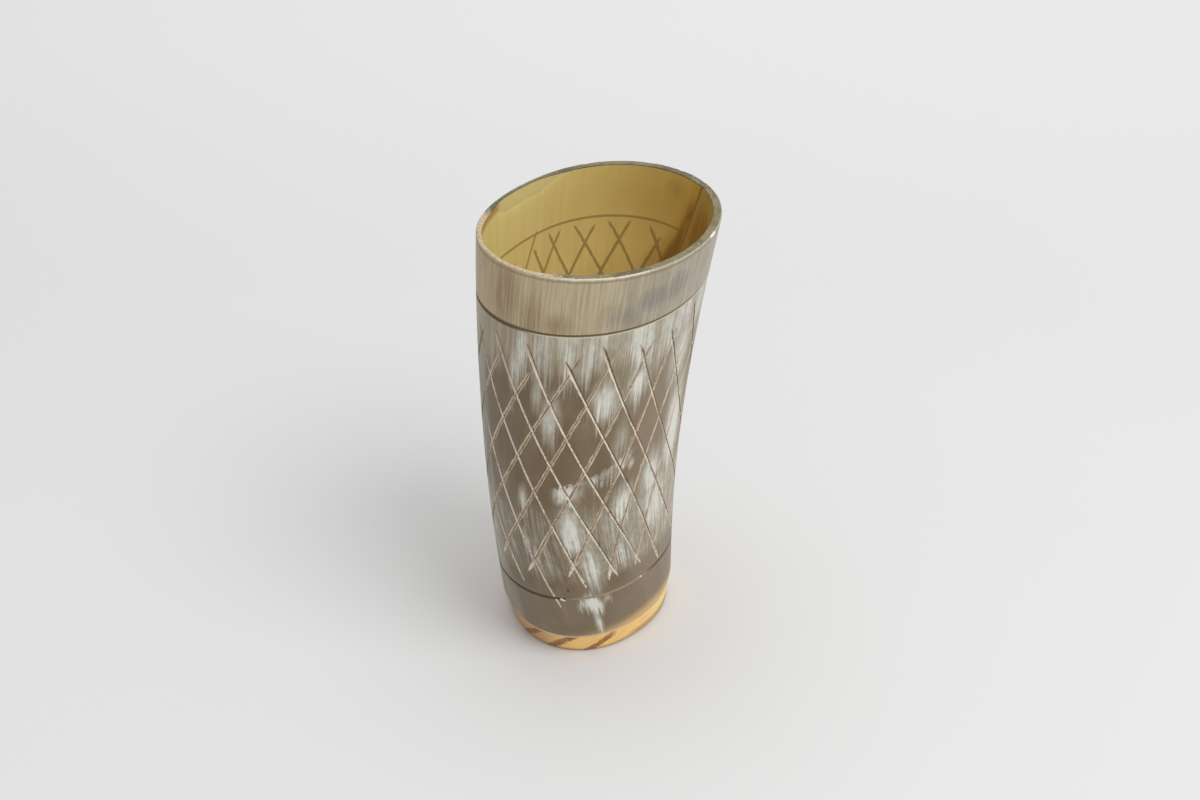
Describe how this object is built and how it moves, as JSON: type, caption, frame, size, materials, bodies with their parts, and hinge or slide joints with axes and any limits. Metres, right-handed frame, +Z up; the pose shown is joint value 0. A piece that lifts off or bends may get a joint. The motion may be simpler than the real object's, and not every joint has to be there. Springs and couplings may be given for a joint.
{
  "type": "horn drinking cup",
  "caption": "Drinking cup cut from a bent section of cattle horn, oval at the mouth, with scribed ring lines and a diamond lattice outside, closed below by a glued pine plug.",
  "frame": {"origin": "middle of the rounded foot, on the surface that the cup stands on", "axes": "+Z up through the mouth, -Y towards the viewer of the picture, +X to the right, the way the tube leans"},
  "size_m": [0.0752, 0.0812, 0.15],
  "materials": {
    "horn": "hand-scraped and polished cattle horn, satin, grey-brown with pale streaks",
    "pine": "sanded pine, oiled, orange-tan with red-brown latewood",
    "glue": "cured clear glue, faint amber"
  },
  "bodies": {
    "root": {"horn_wall": "horn", "wood_base": "pine", "glue_seal": "glue"}
  },
  "joints": []
}
